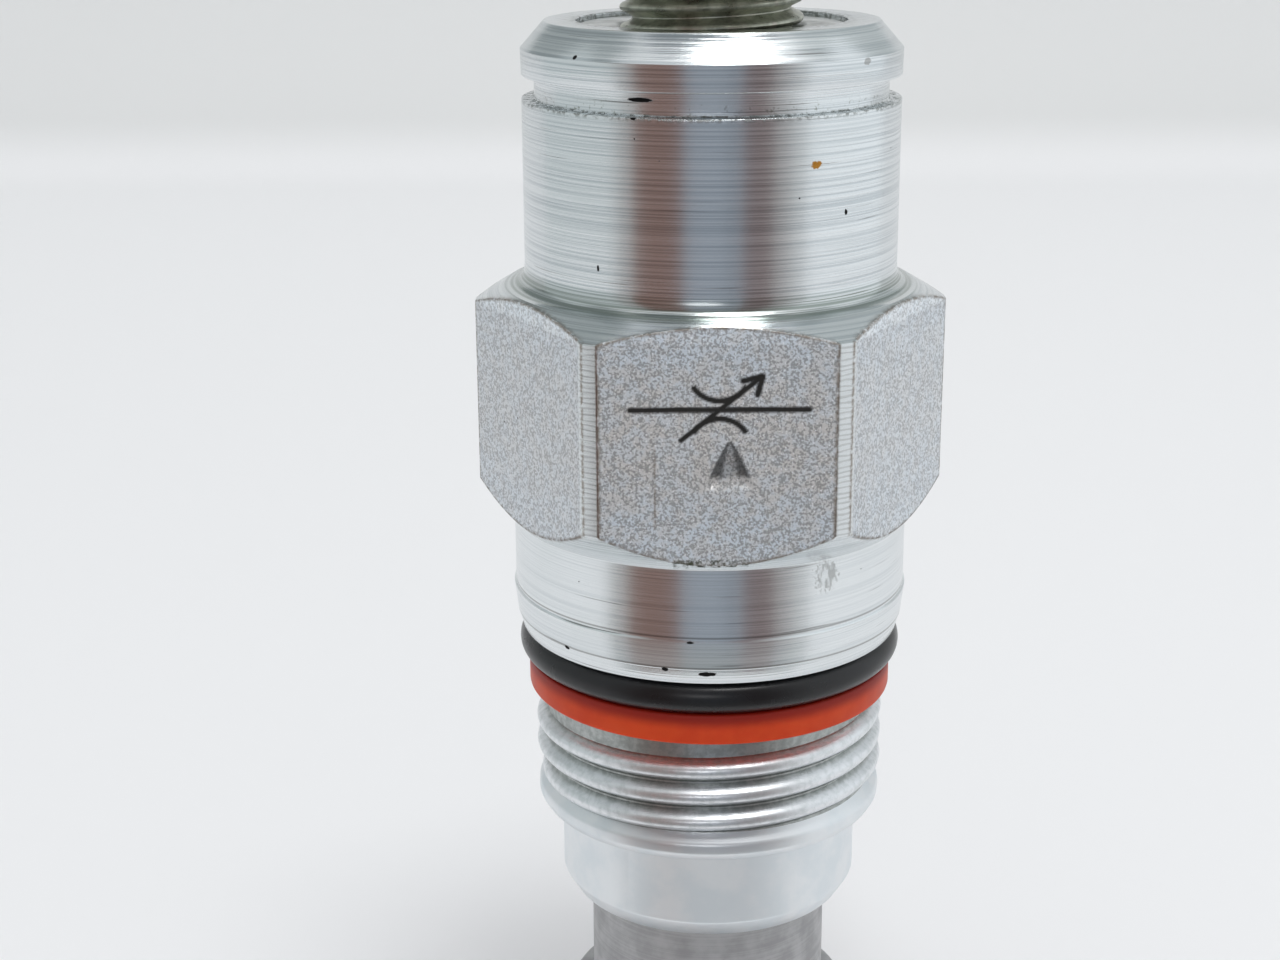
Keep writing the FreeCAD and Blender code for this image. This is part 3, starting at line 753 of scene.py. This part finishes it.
def flat_masks(radius, azimuth, z):
    """Masks of the hexagon's flats, their edges and the front flat.

    The flats beside the front one are worn along the edge they share with it."""
    off = (azimuth - FRONT + 30) % 60 - 30
    turn = np.abs((azimuth - FRONT + 180) % 360 - 180)
    flat_r = HEX_HALF / np.cos(np.radians(off))
    corner_low = HEX_LOW - (HEX_CORNER_R - flat_r)
    corner_high = HEX_HIGH + (HEX_CORNER_R - flat_r) * HEX_SLOPE
    on_flat = ((np.abs(radius - flat_r) < 0.03) & (np.abs(off) < HEX_EDGE_OFF)
               & (z > corner_low - 0.02) & (z < corner_high + 0.02))
    front = on_flat & (turn < 30)

    in_hex = (z > HEX_LOW - 1.65) & (z < HEX_HIGH + 1.2) & (radius > NECK_FOOT_R - 0.05)
    far = 9                        # puts a point out of reach of an edge
    arc = math.pi / 180 * HEX_CORNER_R
    side = np.abs(np.abs(off) - HEX_EDGE_OFF) * arc
    side += far * ((z < corner_low - 0.05) | (z > corner_high + 0.05))
    ends = np.minimum(np.abs(z - corner_low), np.abs(z - corner_high))
    ends += far * (np.abs(off) > HEX_EDGE_OFF)
    edge = in_hex * (1 - smooth(np.minimum(side, ends), 0.01, 0.16))

    worn = (turn - 60 + HEX_EDGE_OFF) * arc
    flat = on_flat * np.where(turn > 30, 0.62, 1.0)
    flat *= np.where((turn > 30) & (turn < 60), smooth(worn, 0.10, 0.50), 1.0)
    return flat, edge, front


def grime_and_shade_mask(x, y, z, radius):
    """Where oily dirt has settled below the front flat and round the bore's rim, and the cap
    groove's foot, which holds dirt and a painted shadow line.
    """
    # the groove's foot: dirt, and a painted shadow line
    groove = (z > CAP_GROOVE_LOW - 0.05) & (z < CAP_GROOVE_LOW + 0.08) & (radius > 9.0)
    below_flat = (np.abs(z - HEX_LOW + 1.40) < 0.22) & (np.abs(x + 0.3) < 1.9) & (y < 0)
    bore_rim = (z > TOP_FACE_Z - 0.1) & (radius < BUSHING_BORE_R + 0.33)
    return np.maximum.reduce([groove * 0.55, below_flat * 0.9, bore_rim * 0.42])


def punch(x, z):
    """Depth of the arrowhead punch mark, and a mask of painted shade on its steep sides and, half as
    dark, inside it.

    It is shallow at its tip and deepest at its foot, with a groove along each side."""
    tip_x, tip_z, foot_z, half_width = 0.62, 44.20, 41.75, 1.25
    down = (tip_z - z) / (tip_z - foot_z)
    inside = np.clip(down, 0, 1)
    across = np.abs(x - tip_x) / (half_width * np.clip(inside, 0.03, 1) ** 0.8)
    depth = (0.06 + 0.30 * inside) * (0.55 + 0.45 * smooth(across, 0.25, 0.70))
    side = 1 - smooth(across, 0.72, 1.02)
    foot = 1 - smooth(down, 0.90, 1.10)
    started = smooth(down, -0.03, 0.06)
    # painted shade: darkest on the steep sides, half as dark inside
    wall = (0.5 + 0.5 * smooth(across, 0.25, 0.50)) * (1 - smooth(across, 0.92, 1.08))
    return depth * side * foot * started, wall * started * (1 - smooth(down, 0.74, 0.86))


def stroke(x, z, start, end, half_width):
    """Mask of a straight stroke from start to end, in the flat's X and Z."""
    ax, az = start
    dx, dz = end[0] - ax, end[1] - az
    along = np.clip(((x - ax) * dx + (z - az) * dz) / (dx * dx + dz * dz), 0, 1)
    gap = np.hypot(x - ax - along * dx, z - az - along * dz)
    return 1 - smooth(gap, half_width - 0.05, half_width + 0.05)


def arc_stroke(x, z, centre, radius, low_deg, high_deg, half_width):
    """Mask of a stroke along an arc between two azimuths, in the flat's X and Z."""
    turn = np.degrees(np.arctan2(z - centre[1], x - centre[0])) % 360
    inside = (turn > low_deg) & (turn < high_deg)
    gap = np.abs(np.hypot(x - centre[0], z - centre[1]) - radius)
    return inside * (1 - smooth(gap, half_width - 0.05, half_width + 0.05))


def symbol_mask(x, z):
    """A plain adjustable-throttle symbol: a line between two arcs, crossed by an arrow."""
    mid_x, mid_z, width = 0.1, 45.75, 0.15
    line = stroke(x, z, (mid_x - 4.4, mid_z), (mid_x + 4.4, mid_z), width)
    upper = arc_stroke(x, z, (mid_x, mid_z + 2.0), 1.55, 212, 328, width)
    lower = arc_stroke(x, z, (mid_x, mid_z - 2.0), 1.55, 32, 148, width)
    tail, head = (mid_x - 1.9, mid_z - 1.55), (mid_x + 2.1, mid_z + 1.7)
    arrow = stroke(x, z, tail, head, width - 0.02)
    barb_a = stroke(x, z, head, (head[0] - 0.95, head[1] - 0.25), width)
    barb_b = stroke(x, z, head, (head[0] - 0.25, head[1] - 0.95), width)
    return np.maximum.reduce([line, upper, lower, arrow, barb_a, barb_b])


def body_thread():
    """The body thread's ridge, between the bead and the seal's seat."""
    def limit(z):
        return BODY_THREAD_R
    thread("body_thread", BODY_ROOT_R, BODY_THREAD_R, BODY_PITCH, BEAD_HIGH + 0.08, SEAT_Z - 0.90,
           FRONT + 210, limit, "body", THREAD_ZINC, slot="zinc_plated_steel")


# -------------------------------------- rings
def torus(name, node, section_r, material, slot):
    """An O-ring in place of a CAD node."""
    low, high = node_z(node)
    middle_r = node_r(node) - section_r
    middle_z = (low + high) / 2
    column = [(middle_r + section_r * math.cos(math.radians(a)),
               middle_z + section_r * math.sin(math.radians(a))) for a in even_angles(28)]
    verts = turned_points([column] * RING_SEGMENTS, even_angles(RING_SEGMENTS))
    body = bpy.data.objects[node]["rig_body"]
    put(name, verts, grid_faces(RING_SEGMENTS, len(column)), body, material,
        replaces=[node], slot=slot, weighted=False)


def flat_ring(name, node, inner_r, material, slot):
    """A flat ring in place of a CAD node, with rounded edges."""
    low, high = node_z(node)
    outer_r = node_r(node)
    outline = [(inner_r, low, 0.08), (outer_r, low, 0.16), (outer_r, high, 0.16),
               (inner_r, high, 0.08)]
    body = bpy.data.objects[node]["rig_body"]
    turned(name, outline, body, material, segments=RING_SEGMENTS, replaces=[node], slot=slot)


# -------------------------------------- sleeve
def sleeve():
    """The sleeve: a neck with radial ports above a nose with one wide seal groove."""
    bore, neck = 4.9, 6.69
    groove_low, groove_high, floor, nose_top = 2.8, 6.8, 6.45, 7.95
    outline = [
        (bore, 0.5, 0.05), (bore + 0.5, 0, 0.05), (NOSE_R - 0.9, 0, 0.15), (NOSE_R, 0.9, 0.15),
        (NOSE_R, groove_low, 0.12), (floor, groove_low, 0.15), (floor, groove_high, 0.15),
        (NOSE_R, groove_high, 0.12), (NOSE_R, nose_top, 0.25), (neck, nose_top, 0.3),
        (neck, SLEEVE_TOP, 0.3), (bore, SLEEVE_TOP, 0.1)]
    piece = turned("sleeve_shell", outline, "body", SLEEVE_STEEL, segments=180,
                   replaces=["cage_sleeve"], slot="hardened_steel")
    drill_ports(piece, count=6, radius=1.2, height=9.65)


def drill_ports(piece, count, radius, height):
    """Cut the sleeve's radial ports with a boolean, then keep only the result."""
    middle, length = 7.0, 6.0      # of each drilled hole, along its own axis
    drills = bmesh.new()
    for index in range(count):
        turn = Matrix.Rotation(math.radians(30 + 360 * index / count), 4, "Z")
        lift = Matrix.Translation((middle * MM, 0, height * MM))
        lay = Matrix.Rotation(math.radians(90), 4, "Y")
        bmesh.ops.create_cone(drills, cap_ends=True, segments=48, radius1=radius * MM,
                              radius2=radius * MM, depth=length * MM, matrix=turn @ lift @ lay)
    mesh = bpy.data.meshes.new("drills")
    drills.to_mesh(mesh)
    drills.free()
    cutter = bpy.data.objects.new("drills", mesh)
    bpy.context.scene.collection.objects.link(cutter)
    cut = piece.modifiers.new("ports", "BOOLEAN")
    cut.solver = "EXACT"
    cut.object = cutter
    piece.modifiers.remove(piece.modifiers["normals"])
    graph = bpy.context.evaluated_depsgraph_get()
    result = bpy.data.meshes.new_from_object(piece.evaluated_get(graph), depsgraph=graph)
    piece.modifiers.clear()
    piece.data = result
    bpy.data.objects.remove(cutter)
    result.shade_smooth()
    result.set_sharp_from_angle(angle=SMOOTH_ANGLE)
    piece.modifiers.new("normals", "WEIGHTED_NORMAL").keep_sharp = True


# -------------------------------------- bushing, screw and nut
def bushing():
    """The threaded insert in the body's top."""
    outline = [(INSERT_BORE_R, BUSHING_LOW, 0.1), (BUSHING_R, BUSHING_LOW, 0.3),
               (BUSHING_R, BUSHING_TOP, 0.25), (INSERT_BORE_R, BUSHING_TOP, 0.25)]
    turned("bushing_shell", outline, "body", BUSHING_STEEL, segments=160,
           replaces=["adjuster_bushing"], slot="bushing_steel")


def screw_column(angle):
    """The screw's outline at one azimuth, from the axis at its foot round to the socket's floor."""
    half, depth, drill_r, tip = 3.97 / 2, 5.5, 1.2, 0.9
    socket_r = hex_reach(angle, half, half / math.cos(math.radians(30)), soft=0.02)
    outline = [
        (0, SCREW_LOW, 0), (SCREW_NECK_R, SCREW_LOW, 0.2), (SCREW_NECK_R, SCREW_NECK_Z - 0.1, 0.05),
        (SCREW_ROOT_R, SCREW_NECK_Z, 0.05),
        (SCREW_ROOT_R, SCREW_TOP - 0.06, 0.1), (SCREW_ROOT_R - 0.08, SCREW_TOP, 0.05),
        (socket_r + 0.18, SCREW_TOP, 0.03), (socket_r, SCREW_TOP - 0.25, 0.05),
        (socket_r, SCREW_TOP - depth, 0.05), (drill_r, SCREW_TOP - depth - 0.5, 0.1),
        (0, SCREW_TOP - depth - tip, 0)]
    return rounded(outline)


def screw():
    """The adjusting screw: a shaft with a hexagon socket, and its thread's ridge."""
    angles = even_angles(144)
    columns = [screw_column(angle) for angle in angles]
    rows = len(columns[0])
    faces = grid_faces(len(angles), rows, closed_rows=False)
    put("screw_shaft", turned_points(columns, angles), faces, "screw", CHROMATE,
        replaces=["adjusting_screw"], slot="yellow_zinc_steel")

    def limit(z):
        return max(SCREW_ROOT_R + 0.01, min(SCREW_R, SCREW_R - 0.75 + SCREW_TOP - z))
    thread("screw_thread", SCREW_ROOT_R, SCREW_R - 0.01, SCREW_PITCH, SCREW_NECK_Z + 1.05,
           SCREW_TOP - 0.55, FRONT + 190, limit, "screw", CHROMATE, slot="yellow_zinc_steel")


def nut():
    """The lock nut: a hexagon with coned ends, and a counterbore for its seal."""
    corner = 2 * NUT_HALF / math.sqrt(3)
    rim, seal_r, seal_top = NUT_HALF - 0.15, 6.35, NUT_LOW + 1.5
    angles = sorted({(FRONT + 60 * side + off) % 360 for side in range(6)
                     for off in [1.5 * i for i in range(-19, 20)] + [-29.3, 29.3, -29.8, 29.8]})
    columns = []
    for angle in angles:
        reach = hex_reach(angle, NUT_HALF, corner - 0.12, soft=0.08)
        slope = (reach - rim) * math.tan(math.radians(30))
        columns.append(rounded([
            (seal_r, NUT_LOW, 0.05), (rim - 0.3, NUT_LOW, 0.08),
            (reach, NUT_LOW + 0.17 + slope, 0.07), (reach, NUT_HIGH - 0.17 - slope, 0.07),
            (rim - 0.3, NUT_HIGH, 0.08), (INSERT_BORE_R + 0.5, NUT_HIGH, 0.06),
            (INSERT_BORE_R, NUT_HIGH - 0.5, 0.06), (INSERT_BORE_R, seal_top, 0.05),
            (seal_r, seal_top, 0.05)]))
    faces = grid_faces(len(angles), len(columns[0]))
    put("nut_shell", turned_points(columns, angles), faces, "nut", CHROMATE,
        replaces=["lock_nut"], slot="yellow_zinc_steel")


# -------------------------------------- studio
def stage_mesh(name, verts, faces, material):
    """A mesh of the studio, from points in metres. It isn't part of the valve."""
    mesh = bpy.data.meshes.new(name)
    mesh.from_pydata(verts, [], faces)
    mesh.shade_smooth()
    mesh.materials.append(material)
    thing = bpy.data.objects.new(name, mesh)
    bpy.context.scene.collection.objects.link(thing)
    return thing


def backdrop():
    """A pale floor that curves up into a wall behind the valve."""
    wall_y, bend, half_width, near_y, top_z = 0.40, 0.05, 2.0, -2.0, 1.2
    profile = [(near_y, 0.0), (wall_y - bend, 0.0)]
    for step in range(1, 13):
        angle = math.radians(90 * step / 12)
        profile.append((wall_y - bend + bend * math.sin(angle), bend - bend * math.cos(angle)))
    profile.append((wall_y, top_z))
    verts = [(side * half_width, y, z) for y, z in profile for side in (-1, 1)]
    faces = [(2 * i, 2 * i + 1, 2 * i + 3, 2 * i + 2) for i in range(len(profile) - 1)]
    stage_mesh("backdrop", verts, faces, pale_floor())


def pale_floor():
    """Matt white floor, painted lighter further back as painted light, and a wall that is a little
    greyer.
    """
    s = Shader("pale_floor")
    _, y, z = s.split()
    # painted light: lighter further back, making up for the light falling off there
    floor = s.mix(s.ramp(y, -20, 330), (0.855, 0.855, 0.862), (0.93, 0.93, 0.935))
    color = s.mix(s.ramp(z, 1, 12), floor, (0.78, 0.785, 0.78))
    return s.finish(color, 0.0, 0.8)


def glow(name, near, far):
    """A glowing card colour that runs from near the valve's foot to far from it."""
    s = Shader(name)
    s.link(s.mix(s.ramp(s.radius(), 40, 100), near, far), s.bsdf.inputs["Emission Color"])
    return s.finish((0, 0, 0), 0.0, 1.0, Emission_Strength=1.0, Specular_IOR_Level=0.0)


def only_reflected(card):
    """Leave a card to be seen in reflections alone."""
    card.visible_camera = False
    card.visible_diffuse = False
    card.visible_shadow = False


def front_cards():
    """What the polished steel mirrors in front: dark and pale strips of floor and room.

    Each strip starts on the floor near the valve, runs outward and turns up."""
    # azimuths from the front, and the colours near the valve and far from it
    strips = [(-58, -47, (0.50, 0.52, 0.53), (0.47, 0.47, 0.47)),
              (-47, -17.5, (0.35, 0.31, 0.30), (0.225, 0.140, 0.120)),
              (-17.5, 8, (0.37, 0.39, 0.40), (0.33, 0.365, 0.415)),
              (8, 11, (0.34, 0.36, 0.37), (0.22, 0.25, 0.29)),
              (11, 16, (0.37, 0.39, 0.40), (0.33, 0.365, 0.415)),
              (16, 34, (0.35, 0.32, 0.32), (0.200, 0.150, 0.148)),
              (34, 44, (0.50, 0.52, 0.53), (0.40, 0.385, 0.385)),
              (44, 54, (0.60, 0.62, 0.63), (0.60, 0.61, 0.62))]
    for index, (low_deg, high_deg, near, far) in enumerate(strips):
        steps = 6
        path = [(0.030, 0.001), (0.060, 0.001), (0.105, 0.001), (0.105, 0.20)]
        verts = []
        for step in range(steps + 1):
            angle = FRONT + low_deg + (high_deg - low_deg) * step / steps
            verts += [around(out, angle, up) for out, up in path]
        rows = len(path)
        faces = [(a * rows + b, (a + 1) * rows + b, (a + 1) * rows + b + 1, a * rows + b + 1)
                 for a in range(steps) for b in range(rows - 1)]
        name = f"front_strip_{index}"
        only_reflected(stage_mesh(name, verts, faces, glow(name, near, far)))


def side_screens():
    """Wide screens at the sides: a dimmer one on the left and a bright one on the right."""
    away, top = 0.30, 0.40
    for name, low_deg, high_deg, color in (("left_screen", -120, -58, (0.60, 0.645, 0.655)),
                                           ("right_screen", 54, 120, (0.90, 0.94, 0.97))):
        verts = []
        for angle in (low_deg, (low_deg + high_deg) / 2, high_deg):
            verts += [around(away, FRONT + angle, up) for up in (0.0, top)]
        faces = [(0, 2, 3, 1), (2, 4, 5, 3)]
        only_reflected(stage_mesh(name, verts, faces, glow(name, color, color)))


def ceiling():
    """A dim ceiling straight above, and dim patches high behind the valve on both sides."""
    count, reach, back, height = 24, 0.24, 0.03, 0.62
    ring = [around(reach, angle, height) for angle in even_angles(count)]
    disc = [(x, y + back, z) for x, y, z in ring]
    stages = [("ceiling", disc, [tuple(range(count))], (0.25, 0.275, 0.29))]
    for name, angles, color in (("upper_left", (-155, -133, -111, -88), (0.34, 0.375, 0.38)),
                                ("upper_right", (88, 111, 133, 155), (0.50, 0.54, 0.55))):
        patch = []
        for angle in angles:
            patch += [around(0.38, FRONT + angle, 0.16), around(0.24, FRONT + angle, 0.50)]
        stages.append((name, patch, [(2 * i, 2 * i + 2, 2 * i + 3, 2 * i + 1) for i in range(3)],
                       color))
    for name, verts, faces, color in stages:
        only_reflected(stage_mesh(name, verts, faces, glow(name, color, color)))


def area_light(name, place, target, size, power):
    """A rectangular light at place, turned towards target."""
    light = bpy.data.lights.new(name, "AREA")
    light.shape = "RECTANGLE"
    light.size, light.size_y = size
    light.energy = power
    thing = bpy.data.objects.new(name, light)
    thing.location = place
    thing.rotation_euler = (Vector(target) - Vector(place)).to_track_quat("-Z", "Y").to_euler()
    bpy.context.scene.collection.objects.link(thing)


def studio():
    """Floor, world, two lights, and the cards that the polished steel mirrors."""
    backdrop()
    world = bpy.data.worlds.new("studio")
    world.use_nodes = True
    sky = world.node_tree.nodes["Background"]
    sky.inputs["Color"].default_value = (0.96, 0.98, 1.0, 1)
    sky.inputs["Strength"].default_value = 0.80
    bpy.context.scene.world = world
    middle = (0, 0, 0.045)
    area_light("overhead", (0.075, -0.145, 0.53), middle, (0.20, 0.14), 0.85)
    area_light("fill", (-0.035, -0.33, 0.145), middle, (0.05, 0.035), 0.08)
    front_cards()
    side_screens()
    ceiling()


def camera():
    """The view the valve is seen from: a little above it, looking down, with a slight tilt."""
    lens, down_angle, tilt_angle = 58.9, 16.94, -0.324
    x, y, above_hex = -3.82, -110.18, 23.37
    data = bpy.data.cameras.new("camera")
    data.sensor_width = 36.0
    data.lens = lens
    data.clip_start = 0.005
    thing = bpy.data.objects.new("camera", data)
    place = Matrix.Translation(Vector((x, y, HEX_HIGH + above_hex)) * MM)
    down = Matrix.Rotation(math.radians(90 - down_angle), 4, "X")
    tilt = Matrix.Rotation(math.radians(tilt_angle), 4, "Z")
    thing.matrix_world = place @ down @ tilt
    bpy.context.scene.collection.objects.link(thing)
    bpy.context.scene.camera = thing
    bpy.context.scene.view_settings.view_transform = "Standard"


def carried_over():
    """The inner CAD nodes stay as they are and get their finishes."""
    finishes = {
        GROUND_STEEL: ["compensator_spool", "orifice_disc", "spring_seat"],
        SPRING_STEEL: ["sleeve_retaining_ring", "spool_stop_ring", "compensator_spring",
                       "orifice_retaining_ring", "spring_shim", "screw_stop_ring"],
        RUBBER: ["bushing_oring", "sleeve_oring", "screw_oring"],
        SEAL: ["sleeve_backup_ring", "screw_backup_ring"],
    }
    for material, nodes in finishes.items():
        for node in nodes:
            slots = frame["nodes"][node].data.materials
            slots.clear()
            slots.append(material)


body_shell()
body_thread()
bushing()
sleeve()
torus("body_oring_shell", "body_oring", 0.88, RUBBER, "black_rubber")
torus("nose_oring_shell", "nose_oring", 0.87, RUBBER, "black_rubber")
flat_ring("body_backup_shell", "body_backup_ring", 8.80, ORANGE, "orange_plastic")
flat_ring("nose_backup_low", "nose_backup_ring_lower", 6.47, ORANGE, "orange_plastic")
flat_ring("nose_backup_high", "nose_backup_ring_upper", 6.47, ORANGE, "orange_plastic")
flat_ring("nut_seal_shell", "nut_seal_ring", INSERT_BORE_R, SEAL, "seal_plastic")
screw()
nut()
carried_over()
studio()
camera()
